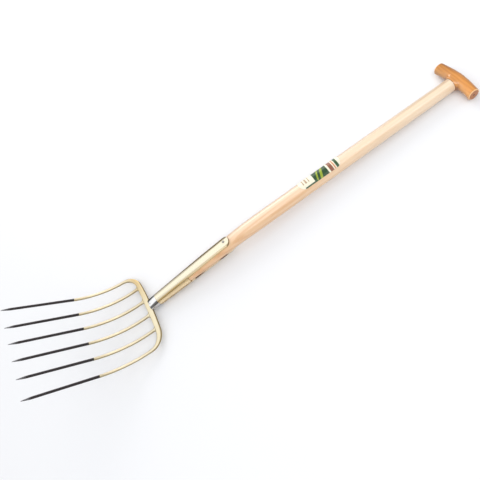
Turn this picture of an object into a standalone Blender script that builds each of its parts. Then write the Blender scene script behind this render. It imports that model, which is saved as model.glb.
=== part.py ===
"""Manure fork: six curved tines on a crossbar, a strapped socket, an ash shaft and a T-grip.

Metres. The tool frame has +Y along the shaft from the head to the grip, +Z out of the
front of the fork, and y = 0 at the crossbar's inner edge. The shaft's upper stretch runs
along y with z = 0. At the end the whole fork is laid on its back, with its origin on the
floor under the middle of its box.
"""
import math

import bmesh
import bpy
from mathutils import Matrix, Vector

# Clearance between pieces that touch or are let into each other
GAP = 0.0003

# Crossbar and tines, measured on the flat pattern before it is bent
INNER_TINES = 4
INNER_PITCH = 0.0417              # between inner tines at the crossbar
INNER_TIP_PITCH = 0.0448          # between inner tines at their points
OUTER_PITCH = 0.0424              # from the last inner tine to the outer tine
OUTER_TIP_PITCH = 0.0508          # the same at the points
TINE_LENGTH = 0.323               # along the tine, from the crossbar's inner edge
TINE_BEND_LENGTH = 0.163          # the arc; the rest of a tine is straight
TINE_ROOT_ANGLE = math.radians(-2.6)
TINE_TIP_ANGLE = math.radians(45.3)
ROD_DIAMETER = 0.0076             # a tine at the crossbar
ROD_END_DIAMETER = 0.0060         # a tine where its point starts
POINT_LENGTH = 0.022
POINT_DIAMETER = 0.0010           # the blunt end of a point
POINT_POWER = 1.4                 # 1 is a plain cone, more is fuller
BAR_WIDTH = 0.0145                # the crossbar's middle, across it
BAR_SHOULDER_WIDTH = 0.0125       # where its corners start
BAR_THICKNESS = 0.0080
BAR_BOW_RADIUS = 0.900            # its outer edge is very slightly bowed
BAR_SQUARENESS = 6.0              # superellipse power of its section, where 2 is round
CORNER_RADIUS = 0.044             # outer edge of the rounded corners
ROOT_FILLET = 0.0070              # where an inner tine flares into the crossbar
SPIGOT_DIAMETER = 0.0044          # an inner tine's spigot, let into the crossbar
SPIGOT_DEPTH = 0.0090

# Neck, socket and straps, measured along the socket's axis from the crossbar's outer edge
SOCKET_ANGLE = math.radians(5.14) # crank between the socket and the shaft
SOCKET_START = 0.0235             # the neck ends and the lacquered socket starts
CHEEK_END = 0.1188                # end of the closed part of the socket
STRAP_MIDDLE = 0.1780
STRAP_END = 0.2540
CHEEK_THICKNESS = 0.0020
STRAP_ROOT_THICKNESS = 0.0030
STRAP_TIP_THICKNESS = 0.0030
STRAP_ROOT_WIDTH = 0.0232
STRAP_CHEEK_WIDTH = 0.0246        # where the cheeks end
STRAP_TIP_WIDTH = 0.0250
NECK_WIDTH = 0.0300               # at the crossbar
NECK_HEIGHT = 0.0136
NECK_RISE_POWER = 0.8             # how soon its height grows towards the socket, less is sooner
NECK_LAP = 0.0020                 # how far it laps over the crossbar's faces
NECK_PLUG_LENGTH = 0.0320         # its plug inside the socket
TENON_WIDTH = 0.0120              # its tenon, let into the crossbar
TENON_HEIGHT = 0.0040
TENON_DEPTH = 0.0085

# Strap rivet
RIVET_INSET = 0.0140              # from the straps' ends
RIVET_DIAMETER = 0.0040
RIVET_HEAD_DIAMETER = 0.0064
RIVET_HEAD_HEIGHT = 0.0012

# Shaft, with places along its axis from the crossbar's outer edge
WOOD_START = 0.0620               # its lower end, inside the socket
WOOD_START_CHAMFER = 0.0020
BEND_RADIUS = 0.500               # the bend between the socket's and the shaft's axis
SWELL_LENGTH = 0.0360             # from the straps' ends
BELLY_LENGTH = 0.0500             # from there to the thickest place
SHAFT_MIDDLE = 0.4740
SHAFT_UPPER = 0.6870
SHAFT_END = 0.8660                # its shoulder under the grip
PLUG_DIAMETER = 0.0238            # what fills the socket at its start
WOOD_CHEEK_DIAMETER = 0.0292      # the wood where the cheeks end
WOOD_STRAP_DIAMETER = 0.0330      # at the straps' middle
WOOD_STRAP_END_DIAMETER = 0.0346
WOOD_SWELL_DIAMETER = 0.0366
WOOD_BELLY_DIAMETER = 0.0375
WOOD_MIDDLE_DIAMETER = 0.0364
WOOD_UPPER_DIAMETER = 0.0341
WOOD_END_DIAMETER = 0.0312
SHAFT_TENON_DIAMETER = 0.0220
SHAFT_TENON_LENGTH = 0.0240

# Grip
GRIP_LENGTH = 0.1150
GRIP_RISE = 0.0180                # from the collar's face to the grip's axis
GRIP_ARCH = 0.0043                # how far its ends droop towards the head
GRIP_MIDDLE_DIAMETER = 0.0308
GRIP_SHOULDER = 0.0210            # a distance from the middle, and the diameter there
GRIP_SHOULDER_DIAMETER = 0.0288
GRIP_WAIST = 0.0400
GRIP_WAIST_DIAMETER = 0.0267
GRIP_END_DIAMETER = 0.0271
GRIP_CHAMFER = 0.0020
COLLAR_LIP = 0.0008               # the collar's radius over the shaft's
COLLAR_FLARE = 0.0215             # how far it widens along the grip on its way up
COLLAR_FLARE_POWER = 1.3          # how late it widens, more is later
COLLAR_THINNING = 0.0019          # how much its other radius shrinks meanwhile

# Grip pin, a nail across the shaft's tenon, driven from the rear
PIN_RISE = 0.0105                 # above the collar's face
PIN_DIAMETER = 0.0026
PIN_HEAD_DIAMETER = 0.0054
PIN_HEAD_HEIGHT = 0.0014
PIN_REACH = 0.0070                # how far past the shaft's axis it goes

# Label round the front of the shaft
LABEL_START = 0.4545
LABEL_LENGTH = 0.1110
LABEL_THICKNESS = 0.00025
LABEL_CENTRE_ANGLE = math.radians(-15.5)
LABEL_HALF_ANGLE = math.radians(59.5)
LABEL_CORNER_RADIUS = 0.0150

# Facets
BAR_SIDES = 16
NECK_SIDES = 24
NECK_BAND_SIDES = 8
TURNED_SIDES = 32
SHAFT_SIDES = 24
SHAFT_STEP = 0.0200               # between the shaft's sections
GRIP_SIDES = 28

for old in list(bpy.data.objects):
    bpy.data.objects.remove(old, do_unlink=True)
model = bpy.data.collections.new("manure_fork")
cutters = bpy.data.collections.new("cutters")
bpy.context.scene.collection.children.link(model)
bpy.context.scene.collection.children.link(cutters)


# Materials

def material(name, colour, roughness, metallic):
    """A plain Principled material."""
    made = bpy.data.materials.new(name)
    made.use_nodes = True
    shader = made.node_tree.nodes["Principled BSDF"]
    shader.inputs["Base Color"].default_value = (*colour, 1.0)
    shader.inputs["Roughness"].default_value = roughness
    shader.inputs["Metallic"].default_value = metallic
    return made


lacquer = material("gold_lacquer", (0.80, 0.66, 0.34), 0.30, 0.75)
bright_steel = material("bright_steel", (0.75, 0.76, 0.78), 0.18, 1.0)
ash = material("ash_wood", (0.87, 0.70, 0.47), 0.45, 0.0)
varnished_wood = material("varnished_wood", (0.72, 0.39, 0.14), 0.35, 0.0)
paper = material("label_paper", (0.80, 0.78, 0.62), 0.40, 0.0)


# Objects and modifiers

def empty(name, parent=None):
    """An empty that carries pieces."""
    made = bpy.data.objects.new(name, None)
    model.objects.link(made)
    made.parent = parent
    return made


def piece(name, mesh, parent, finish):
    """An object of the model, smooth over its round faces."""
    made = bpy.data.objects.new(name, mesh)
    model.objects.link(made)
    made.parent = parent
    mesh.materials.append(finish)
    mesh.shade_smooth()
    mesh.set_sharp_from_angle(angle=math.radians(35))
    return made


def cutter(name, mesh, parent):
    """A hidden object that cuts, trims or joins."""
    made = bpy.data.objects.new(name, mesh)
    cutters.objects.link(made)
    made.parent = parent
    made.hide_render = True
    made.display_type = "WIRE"
    return made


def boolean(target, operation, tool):
    """Cuts, trims or joins target by tool with the exact solver."""
    made = target.modifiers.new(f"{operation.lower()}_{tool.name}", "BOOLEAN")
    made.object = tool
    made.operation = operation
    made.solver = "EXACT"


def turn(made):
    """Turns an object's profile round its Z axis."""
    screw = made.modifiers.new("turned", "SCREW")
    screw.axis = "Z"
    screw.steps = TURNED_SIDES
    screw.render_steps = TURNED_SIDES
    screw.use_merge_vertices = True
    screw.merge_threshold = 0.00001


# Meshes

def profile(name, points):
    """A profile of (radius, height) points at +X, down its outer side from top to bottom."""
    work = bmesh.new()
    verts = [work.verts.new((radius, 0, height)) for radius, height in points]
    for upper, lower in zip(verts, verts[1:]):
        work.edges.new((upper, lower))
    mesh = bpy.data.meshes.new(name)
    work.to_mesh(mesh)
    work.free()
    return mesh


def loft(name, rings):
    """A closed mesh through rings with as many points each, capped at both ends."""
    work = bmesh.new()
    loops = [[work.verts.new(point) for point in ring] for ring in rings]
    for near, far in zip(loops, loops[1:]):
        for i in range(len(near)):
            j = (i + 1) % len(near)
            work.faces.new((near[i], near[j], far[j], far[i]))
    work.faces.new(loops[0])
    work.faces.new(loops[-1])
    bmesh.ops.recalc_face_normals(work, faces=work.faces)
    mesh = bpy.data.meshes.new(name)
    work.to_mesh(mesh)
    work.free()
    return mesh


def block(name, width, length, height, centre):
    """A box round centre, width along X, length along Y and height along Z."""
    work = bmesh.new()
    bmesh.ops.create_cube(work, size=1.0)
    bmesh.ops.scale(work, verts=work.verts, vec=(width, length, height))
    bmesh.ops.translate(work, verts=work.verts, vec=centre)
    mesh = bpy.data.meshes.new(name)
    work.to_mesh(mesh)
    work.free()
    return mesh


def rod(name, diameter, low, high):
    """A cylinder along Y from low to high."""
    work = bmesh.new()
    bmesh.ops.create_cone(
        work,
        cap_ends=True,
        segments=BAR_SIDES,
        radius1=diameter / 2,
        radius2=diameter / 2,
        depth=high - low,
        matrix=Matrix.Translation((0, (low + high) / 2, 0)) @ Matrix.Rotation(math.pi / 2, 4, "X"),
    )
    mesh = bpy.data.meshes.new(name)
    work.to_mesh(mesh)
    work.free()
    return mesh


def mesh_of(curve):
    """A curve's mesh, with its caps welded on."""
    holder = bpy.data.objects.new(curve.name, curve)
    cutters.objects.link(holder)
    graph = bpy.context.evaluated_depsgraph_get()
    mesh = bpy.data.meshes.new_from_object(holder.evaluated_get(graph))
    bpy.data.objects.remove(holder, do_unlink=True)
    work = bmesh.new()
    work.from_mesh(mesh)
    bmesh.ops.remove_doubles(work, verts=work.verts, dist=0.00001)
    bmesh.ops.recalc_face_normals(work, faces=work.faces)
    work.to_mesh(mesh)
    work.free()
    return mesh


def swept(name, points, radii, sides):
    """A round bar through points, as thick at each as radii say."""
    curve = bpy.data.curves.new(name, "CURVE")
    curve.dimensions = "3D"
    curve.bevel_depth = 1.0
    curve.bevel_resolution = (sides - 4) // 2
    curve.use_fill_caps = True
    spline = curve.splines.new("POLY")
    spline.points.add(len(points) - 1)
    for target, point, radius in zip(spline.points, points, radii):
        target.co = (*point, 1)
        target.radius = radius
    return mesh_of(curve)


def plate(name, outline, thickness):
    """A flat plate with a closed outline of (x, y) points, centred on z = 0."""
    curve = bpy.data.curves.new(name, "CURVE")
    curve.dimensions = "2D"
    curve.fill_mode = "BOTH"
    curve.extrude = thickness / 2
    spline = curve.splines.new("POLY")
    spline.use_cyclic_u = True
    spline.points.add(len(outline) - 1)
    for target, point in zip(spline.points, outline):
        target.co = (*point, 0, 1)
    return mesh_of(curve)


# Smooth sizes

def steps(low, high, count):
    """Evenly spaced values from low to high, both included."""
    return [low + (high - low) * i / count for i in range(count + 1)]


def through(stations, place):
    """A smooth value at place through (place, value) stations, level outside them."""
    if place <= stations[0][0]:
        return stations[0][1]
    if place >= stations[-1][0]:
        return stations[-1][1]
    i = max(k for k in range(len(stations) - 1) if stations[k][0] <= place)

    def slope(k):
        before = stations[max(k - 1, 0)]
        after = stations[min(k + 1, len(stations) - 1)]
        return (after[1] - before[1]) / (after[0] - before[0])

    (start, low), (end, high) = stations[i], stations[i + 1]
    span = end - start
    t = (place - start) / span
    return (
        (2 * t**3 - 3 * t**2 + 1) * low
        + (t**3 - 2 * t**2 + t) * span * slope(i)
        + (3 * t**2 - 2 * t**3) * high
        + (t**3 - t**2) * span * slope(i + 1)
    )


def oval_points(half_width, half_height, power, angles):
    """Points (across, up) of a superellipse at some angles."""
    points = []
    for angle in angles:
        c = math.cos(angle)
        s = math.sin(angle)
        across = math.copysign(abs(c) ** (2 / power), c) * half_width
        up = math.copysign(abs(s) ** (2 / power), s) * half_height
        points.append((across, up))
    return points


def oval(half_width, half_height, power, sides):
    """Points (across, up) round a superellipse."""
    angles = [2 * math.pi * (i + 0.5) / sides for i in range(sides)]
    return oval_points(half_width, half_height, power, angles)


def banded_oval(half_width, half_height, power, half_band, band_height):
    """The same with a raised band across its top, from its right foot round the bottom."""
    foot = math.acos((half_band / half_width) ** (power / 2))
    lower = oval_points(half_width, half_height, power, steps(foot, -math.pi - foot, NECK_SIDES))
    upper = oval_points(half_width, half_height, power, steps(math.pi - foot, foot, NECK_BAND_SIDES))
    return lower + [(across, up + band_height) for across, up in upper]


# The tool frame, and the axis from the crossbar up the socket, round the bend and up the shaft

tool = empty("tool_frame")

bend_tangent = BEND_RADIUS * math.tan(SOCKET_ANGLE / 2)
bend_arc = BEND_RADIUS * SOCKET_ANGLE
bend_corner_y = BAR_WIDTH + (STRAP_END + bend_tangent) * math.cos(SOCKET_ANGLE)
shaft_end_y = bend_corner_y + bend_tangent + SHAFT_END - STRAP_END - bend_arc


def axis_point(along):
    """A point of the axis, along it from the crossbar's outer edge."""
    if along <= STRAP_END:
        back = STRAP_END + bend_tangent - along
        return Vector((0, bend_corner_y - back * math.cos(SOCKET_ANGLE), -back * math.sin(SOCKET_ANGLE)))
    if along <= STRAP_END + bend_arc:
        angle = SOCKET_ANGLE - (along - STRAP_END) / BEND_RADIUS
        y = bend_corner_y + bend_tangent - BEND_RADIUS * math.sin(angle)
        return Vector((0, y, BEND_RADIUS * (math.cos(angle) - 1)))
    return Vector((0, bend_corner_y + bend_tangent + along - STRAP_END - bend_arc, 0))


socket = empty("socket_axis", tool)
socket.location = axis_point(0)
socket.rotation_euler = (SOCKET_ANGLE, 0, 0)

swell = STRAP_END + SWELL_LENGTH
wood_diameters = (
    (SOCKET_START, PLUG_DIAMETER),
    (CHEEK_END, WOOD_CHEEK_DIAMETER),
    (STRAP_MIDDLE, WOOD_STRAP_DIAMETER),
    (STRAP_END, WOOD_STRAP_END_DIAMETER),
    (swell, WOOD_SWELL_DIAMETER),
    (swell + BELLY_LENGTH, WOOD_BELLY_DIAMETER),
    (SHAFT_MIDDLE, WOOD_MIDDLE_DIAMETER),
    (SHAFT_UPPER, WOOD_UPPER_DIAMETER),
    (SHAFT_END, WOOD_END_DIAMETER),
)


def core_radius(along):
    """Radius of what fills the socket and straps, the neck's plug and the wood, and of the shaft."""
    return through(wood_diameters, along) / 2


def strap_radius(along):
    """Outer radius of both straps."""
    share = (along - SOCKET_START) / (STRAP_END - SOCKET_START)
    thickness = STRAP_ROOT_THICKNESS + (STRAP_TIP_THICKNESS - STRAP_ROOT_THICKNESS) * share
    return core_radius(along) + GAP + thickness


def cheek_radius(along):
    """Outer radius of the socket's cheeks."""
    return core_radius(along) + GAP + CHEEK_THICKNESS


# Crossbar and tines: a flat pattern bent into the fork's curve

curvature = (TINE_TIP_ANGLE - TINE_ROOT_ANGLE) / TINE_BEND_LENGTH
root_z = axis_point(-BAR_WIDTH / 2).z + BAR_WIDTH / 2 * math.sin(TINE_ROOT_ANGLE)

crossbar = empty("crossbar_frame", tool)
crossbar.location = (0, 0, root_z)
crossbar.rotation_euler = (-TINE_ROOT_ANGLE, 0, 0)


def bent(x, down):
    """Bends a point of the flat pattern, down from the crossbar's inner edge.

    Gives its place in the tool frame, the direction down the tine and the one out of its front.
    """
    into = min(max(down, 0.0), TINE_BEND_LENGTH)
    angle = TINE_ROOT_ANGLE + curvature * into
    along = Vector((0, -math.cos(angle), math.sin(angle)))
    front = Vector((0, math.sin(angle), math.cos(angle)))
    y = (math.sin(TINE_ROOT_ANGLE) - math.sin(angle)) / curvature
    z = root_z + (math.cos(TINE_ROOT_ANGLE) - math.cos(angle)) / curvature
    return Vector((x, y, z)) + along * (down - into), along, front


def section(centre, side, half_width, half_height, power):
    """A ring round a point of the flat pattern, half_width towards side, which is level with it."""
    place, along, front = bent(*centre)
    across = Vector((side[0], 0, 0)) + along * side[1]
    ring = oval(half_width, half_height, power, BAR_SIDES)
    return [place + across * wide + front * high for wide, high in ring]


point_start = TINE_LENGTH - POINT_LENGTH


def tine_radius(down):
    """Radius of a tine: a slow taper, then the point."""
    if down <= point_start:
        share = max(down, 0.0) / point_start
        return (ROD_DIAMETER + (ROD_END_DIAMETER - ROD_DIAMETER) * share) / 2
    share = (down - point_start) / POINT_LENGTH
    return (ROD_END_DIAMETER + (POINT_DIAMETER - ROD_END_DIAMETER) * share**POINT_POWER) / 2


def tine_stations(start):
    """Distances down a tine for its sections: the bend, the straight and the point."""
    bend = steps(start, TINE_BEND_LENGTH, 12)
    straight = steps(TINE_BEND_LENGTH, point_start, 3)
    point = steps(point_start, TINE_LENGTH, 5)
    return bend + straight[1:] + point[1:]


# The crossbar's outer edge bows, turns round the corner circles and runs on into the outer tines
outer_x = (INNER_TINES - 1) / 2 * INNER_PITCH + OUTER_PITCH
outer_tip_x = (INNER_TINES - 1) / 2 * INNER_TIP_PITCH + OUTER_TIP_PITCH
corner_rod_radius = CORNER_RADIUS - ROD_DIAMETER / 2
corner_x = outer_x - corner_rod_radius
corner_start = math.asin(corner_x / (BAR_BOW_RADIUS - CORNER_RADIUS))
corner_down = BAR_BOW_RADIUS - BAR_WIDTH - (BAR_BOW_RADIUS - CORNER_RADIUS) * math.cos(corner_start)
tip_from_corner = Vector((outer_tip_x - corner_x, TINE_LENGTH - corner_down))
splay = math.acos(corner_rod_radius / tip_from_corner.length) - math.atan2(*tip_from_corner.yx)
corner_end = math.pi / 2 - splay


def half_bow(grow):
    """Sections from the crossbar's middle to the right outer tine's point, larger by grow."""
    rings = []

    def add(edge, side, width, thickness, power):
        centre = edge - side * width / 2
        rings.append(section(centre, side, width / 2 + grow, thickness / 2 + grow, power))
        return centre

    for angle in steps(0, corner_start, 4)[:-1]:
        side = Vector((math.sin(angle), -math.cos(angle)))
        edge = Vector((0, BAR_BOW_RADIUS - BAR_WIDTH)) + side * BAR_BOW_RADIUS
        width = BAR_WIDTH + (BAR_SHOULDER_WIDTH - BAR_WIDTH) * angle / corner_start
        add(edge, side, width, BAR_THICKNESS, BAR_SQUARENESS)
    for angle in steps(corner_start, corner_end, 10):
        share = (angle - corner_start) / (corner_end - corner_start)
        ease = 0.5 - 0.5 * math.cos(math.pi * share)
        side = Vector((math.sin(angle), -math.cos(angle)))
        edge = Vector((corner_x, corner_down)) + side * CORNER_RADIUS
        width = BAR_SHOULDER_WIDTH + (ROD_DIAMETER - BAR_SHOULDER_WIDTH) * ease
        thickness = BAR_THICKNESS + (ROD_DIAMETER - BAR_THICKNESS) * share
        centre = add(edge, side, width, thickness, BAR_SQUARENESS + (2 - BAR_SQUARENESS) * share)
    for down in tine_stations(centre.y)[1:]:
        x = centre.x + (down - centre.y) * math.tan(splay)
        radius = tine_radius(down)
        add(Vector((x, down)) + side * radius, side, radius * 2, radius * 2, 2)
    return rings


def bow(name, grow):
    """The crossbar with both outer tines, larger by grow all round."""
    right = half_bow(grow)
    left = [[Vector((-p.x, p.y, p.z)) for p in ring] for ring in right[:0:-1]]
    return loft(name, left + right)


tine_bow = piece("tine_bow", bow("tine_bow", 0), tool, lacquer)
crossbar_space = cutter("crossbar_space", bow("crossbar_space", GAP), tool)

for number in range(1, INNER_TINES + 1):
    place = number - (INNER_TINES + 1) / 2
    root_x = place * INNER_PITCH
    tip_x = place * INNER_TIP_PITCH
    rings = []
    root_end = -BAR_WIDTH * 0.3
    fillet = [ROOT_FILLET * share for share in (0, 0.12, 0.35, 0.65)]
    for down in [root_end] + fillet + tine_stations(ROOT_FILLET):
        x = root_x + (tip_x - root_x) * down / TINE_LENGTH
        radius = tine_radius(down)
        short = max(ROOT_FILLET - max(down, 0), 0)
        flare = ROOT_FILLET - math.sqrt(ROOT_FILLET**2 - short**2)
        rings.append(section((x, down), (1, 0), radius + flare, radius, 2))
    tine = piece(f"inner_tine_{number}", loft(f"inner_tine_{number}", rings), tool, lacquer)
    boolean(tine, "DIFFERENCE", crossbar_space)
    spigot_mesh = rod(f"spigot_{number}", SPIGOT_DIAMETER, -SPIGOT_DIAMETER, SPIGOT_DEPTH)
    spigot = cutter(f"spigot_{number}", spigot_mesh, crossbar)
    spigot.location.x = root_x
    boolean(tine, "UNION", spigot)
    hole_mesh = rod(f"spigot_hole_{number}", SPIGOT_DIAMETER + 2 * GAP, -SPIGOT_DIAMETER, SPIGOT_DEPTH + GAP)
    hole = cutter(f"spigot_hole_{number}", hole_mesh, crossbar)
    hole.location.x = root_x
    boolean(tine_bow, "DIFFERENCE", hole)


# Neck: from a flat oval on the crossbar to the socket's round, with a tenon, a plug and, on its
# front, a band that carries on the front strap

neck_end = SOCKET_START - GAP
neck_band_height = strap_radius(SOCKET_START) - cheek_radius(SOCKET_START)
neck_rings = []
for along in steps(-NECK_LAP, neck_end, 7):
    share = (along + NECK_LAP) / (neck_end + NECK_LAP)
    half_width = NECK_WIDTH / 2 + (cheek_radius(SOCKET_START) - NECK_WIDTH / 2) * share
    half_height = NECK_HEIGHT / 2 + (cheek_radius(SOCKET_START) - NECK_HEIGHT / 2) * share**NECK_RISE_POWER
    ring = banded_oval(half_width, half_height, 2.5 - 0.5 * share, STRAP_ROOT_WIDTH / 2, neck_band_height)
    neck_rings.append([(wide, along, high) for wide, high in ring])
plug_angles = steps(math.pi / 6, math.pi / 6 - 2 * math.pi, len(neck_rings[0]))[:-1]
for along in (neck_end, SOCKET_START + NECK_PLUG_LENGTH):
    ring = oval_points(core_radius(along), core_radius(along), 2, plug_angles)
    neck_rings.append([(wide, along, high) for wide, high in ring])
neck = piece("neck", loft("neck", neck_rings), socket, bright_steel)
boolean(neck, "DIFFERENCE", crossbar_space)
tenon_root = NECK_LAP * 2
tenon_mesh = block(
    "neck_tenon",
    TENON_WIDTH,
    TENON_DEPTH + tenon_root,
    TENON_HEIGHT,
    (0, (tenon_root - TENON_DEPTH) / 2, 0),
)
boolean(neck, "UNION", cutter("neck_tenon", tenon_mesh, socket))
slot_mesh = block(
    "tenon_slot",
    TENON_WIDTH + 2 * GAP,
    TENON_DEPTH + GAP + tenon_root,
    TENON_HEIGHT + 2 * GAP,
    (0, (tenon_root - TENON_DEPTH - GAP) / 2, 0),
)
boolean(tine_bow, "DIFFERENCE", cutter("tenon_slot", slot_mesh, socket))


# Socket and straps: turned round the socket's axis and trimmed to their outlines from the front

def turned_on_socket(name, points):
    """A turned cutter on the socket's axis, from (radius, along) points, the far end first."""
    made = cutter(name, profile(name, points), socket)
    made.rotation_euler = (-math.pi / 2, 0, 0)
    turn(made)
    return made


def solid_points(radius_at, low, high, count):
    """Profile points of a solid from low to high with a radius that changes along it."""
    sides = [(radius_at(along), along) for along in steps(high, low, count)]
    return [(0, high), *sides, (0, low)]


def strap_outline(grow):
    """The outline of a strap from the front, with its round end, wider by grow."""
    tip_centre = STRAP_END - STRAP_TIP_WIDTH / 2
    tip_radius = STRAP_TIP_WIDTH / 2 + grow
    widths = (
        (SOCKET_START, STRAP_ROOT_WIDTH),
        (CHEEK_END, STRAP_CHEEK_WIDTH),
        (tip_centre, STRAP_TIP_WIDTH),
    )
    right = [(STRAP_ROOT_WIDTH / 2 + grow, SOCKET_START - STRAP_ROOT_WIDTH)]
    right += [(through(widths, along) / 2 + grow, along) for along in steps(SOCKET_START, tip_centre, 8)[1:]]
    angles = steps(0, math.pi, 12)[1:-1]
    tip = [(tip_radius * math.cos(angle), tip_centre + tip_radius * math.sin(angle)) for angle in angles]
    left = [(-x, along) for x, along in reversed(right)]
    return right + tip + left


def strap_plate(name, grow, front, clear):
    """A thick plate with a strap's outline, in front of or behind the axis, clear of it by clear."""
    height = 2 * WOOD_BELLY_DIAMETER
    made = cutter(name, plate(name, strap_outline(grow), height), socket)
    made.location.z = front * (height / 2 + clear)
    return made


overrun = STRAP_TIP_WIDTH / 2
space_end = STRAP_END + 2 * overrun
space_places = [space_end, *steps(STRAP_END, SOCKET_START, 14)]
core_space = turned_on_socket(
    "core_space",
    [
        (0, space_end),
        *[(core_radius(along) + GAP, along) for along in space_places],
        (WOOD_BELLY_DIAMETER, SOCKET_START),
        (WOOD_BELLY_DIAMETER, SOCKET_START - 2 * overrun),
        (0, SOCKET_START - 2 * overrun),
    ],
)
core_space.rotation_euler.y = math.pi / TURNED_SIDES
rivet_along = STRAP_END - RIVET_INSET
rivet_hole_points = [
    (0, WOOD_BELLY_DIAMETER),
    (RIVET_DIAMETER / 2 + GAP, WOOD_BELLY_DIAMETER),
    (RIVET_DIAMETER / 2 + GAP, -WOOD_BELLY_DIAMETER),
    (0, -WOOD_BELLY_DIAMETER),
]
rivet_hole = cutter("rivet_hole", profile("rivet_hole", rivet_hole_points), socket)
rivet_hole.location.y = rivet_along
turn(rivet_hole)
strap_stock = solid_points(strap_radius, SOCKET_START - overrun, STRAP_END + overrun, 16)

front_strap = piece("front_strap", profile("front_strap", strap_stock), socket, lacquer)
front_strap.rotation_euler = (-math.pi / 2, 0, 0)
turn(front_strap)
boolean(front_strap, "INTERSECT", strap_plate("front_outline", 0, 1, GAP))
boolean(front_strap, "DIFFERENCE", core_space)
boolean(front_strap, "DIFFERENCE", rivet_hole)

rear_strap = turned_on_socket("rear_strap", strap_stock)
boolean(rear_strap, "INTERSECT", strap_plate("rear_outline", 0, -1, 0))

cheek_stock = solid_points(cheek_radius, SOCKET_START - overrun / 2, CHEEK_END, 7)
socket_shell = piece("socket_shell", profile("socket_shell", cheek_stock), socket, lacquer)
socket_shell.rotation_euler = (-math.pi / 2, 0, 0)
turn(socket_shell)
boolean(socket_shell, "UNION", rear_strap)
boolean(socket_shell, "DIFFERENCE", core_space)
boolean(socket_shell, "DIFFERENCE", strap_plate("front_opening", GAP, 1, 0))
boolean(socket_shell, "DIFFERENCE", rivet_hole)


# Strap rivet: a shank with a low dome on each strap

rivet_seat = strap_radius(rivet_along) + GAP / 2
half_rivet = []
for angle in steps(math.pi / 2, 0, 4):
    radius = RIVET_HEAD_DIAMETER / 2 * math.cos(angle)
    half_rivet.append((max(radius, 0), rivet_seat + RIVET_HEAD_HEIGHT * (0.3 + 0.7 * math.sin(angle))))
half_rivet += [(RIVET_HEAD_DIAMETER / 2, rivet_seat), (RIVET_DIAMETER / 2, rivet_seat)]
rivet_points = half_rivet + [(radius, -height) for radius, height in reversed(half_rivet)]
strap_rivet = piece("strap_rivet", profile("strap_rivet", rivet_points), socket, bright_steel)
strap_rivet.location.y = rivet_along
turn(strap_rivet)


# Shaft: one stick from inside the socket to its tenon in the grip

shaft_places = [WOOD_START, *steps(WOOD_START + WOOD_START_CHAMFER, STRAP_END, 9)]
shaft_places += steps(STRAP_END, SHAFT_END, round((SHAFT_END - STRAP_END) / SHAFT_STEP))[1:]
shaft_radii = [core_radius(along) for along in shaft_places]
shaft_radii[0] -= WOOD_START_CHAMFER
shaft_mesh = swept("shaft", [axis_point(along) for along in shaft_places], shaft_radii, SHAFT_SIDES)
shaft = piece("shaft", shaft_mesh, tool, ash)
tenon_mesh = rod("shaft_tenon", SHAFT_TENON_DIAMETER, -SHAFT_TENON_DIAMETER, SHAFT_TENON_LENGTH)
shaft_tenon = cutter("shaft_tenon", tenon_mesh, tool)
shaft_tenon.location.y = shaft_end_y
boolean(shaft, "UNION", shaft_tenon)
boolean(shaft, "DIFFERENCE", rivet_hole)


# Grip: an arched turned bar with a collar that flares into it from the shaft

collar_y = shaft_end_y + GAP
grip_axis = empty("grip_axis", tool)
grip_axis.location = (0, collar_y + GRIP_RISE, 0)
grip_half = GRIP_LENGTH / 2
grip_face = grip_half - GRIP_CHAMFER
grip_diameters = (
    (0, GRIP_MIDDLE_DIAMETER),
    (GRIP_SHOULDER, GRIP_SHOULDER_DIAMETER),
    (GRIP_WAIST, GRIP_WAIST_DIAMETER),
    (grip_face, GRIP_END_DIAMETER),
)
grip_points = []
grip_radii = []
for x in steps(-grip_face, grip_face, 18):
    droop = GRIP_ARCH * abs(x / grip_face) ** 3
    grip_points.append((x, -droop, 0))
    grip_radii.append(through(grip_diameters, abs(x)) / 2)
grip_points = [(-grip_half, -GRIP_ARCH, 0), *grip_points, (grip_half, -GRIP_ARCH, 0)]
grip_radii = [grip_radii[0] - GRIP_CHAMFER, *grip_radii, grip_radii[-1] - GRIP_CHAMFER]
grip = piece("grip", swept("grip", grip_points, grip_radii, GRIP_SIDES), grip_axis, varnished_wood)


def collar_radius(rise):
    """The collar's radius towards its front and rear, at a rise over its face."""
    return core_radius(SHAFT_END) + COLLAR_LIP - COLLAR_THINNING * rise / GRIP_RISE


collar_rings = []
for rise in steps(0, GRIP_RISE, 8):
    half_width = core_radius(SHAFT_END) + COLLAR_LIP + COLLAR_FLARE * (rise / GRIP_RISE) ** COLLAR_FLARE_POWER
    ring = oval(half_width, collar_radius(rise), 2, TURNED_SIDES)
    collar_rings.append([(wide, rise - GRIP_RISE, high) for wide, high in ring])
boolean(grip, "UNION", cutter("collar", loft("collar", collar_rings), grip_axis))
bore_mesh = rod(
    "shaft_bore",
    SHAFT_TENON_DIAMETER + 2 * GAP,
    -SHAFT_TENON_DIAMETER,
    SHAFT_TENON_LENGTH + GAP,
)
shaft_bore = cutter("shaft_bore", bore_mesh, tool)
shaft_bore.location.y = shaft_end_y
boolean(grip, "DIFFERENCE", shaft_bore)


# Grip pin: its head is flush with the collar's rear, its point ends inside the shaft's tenon

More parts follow.
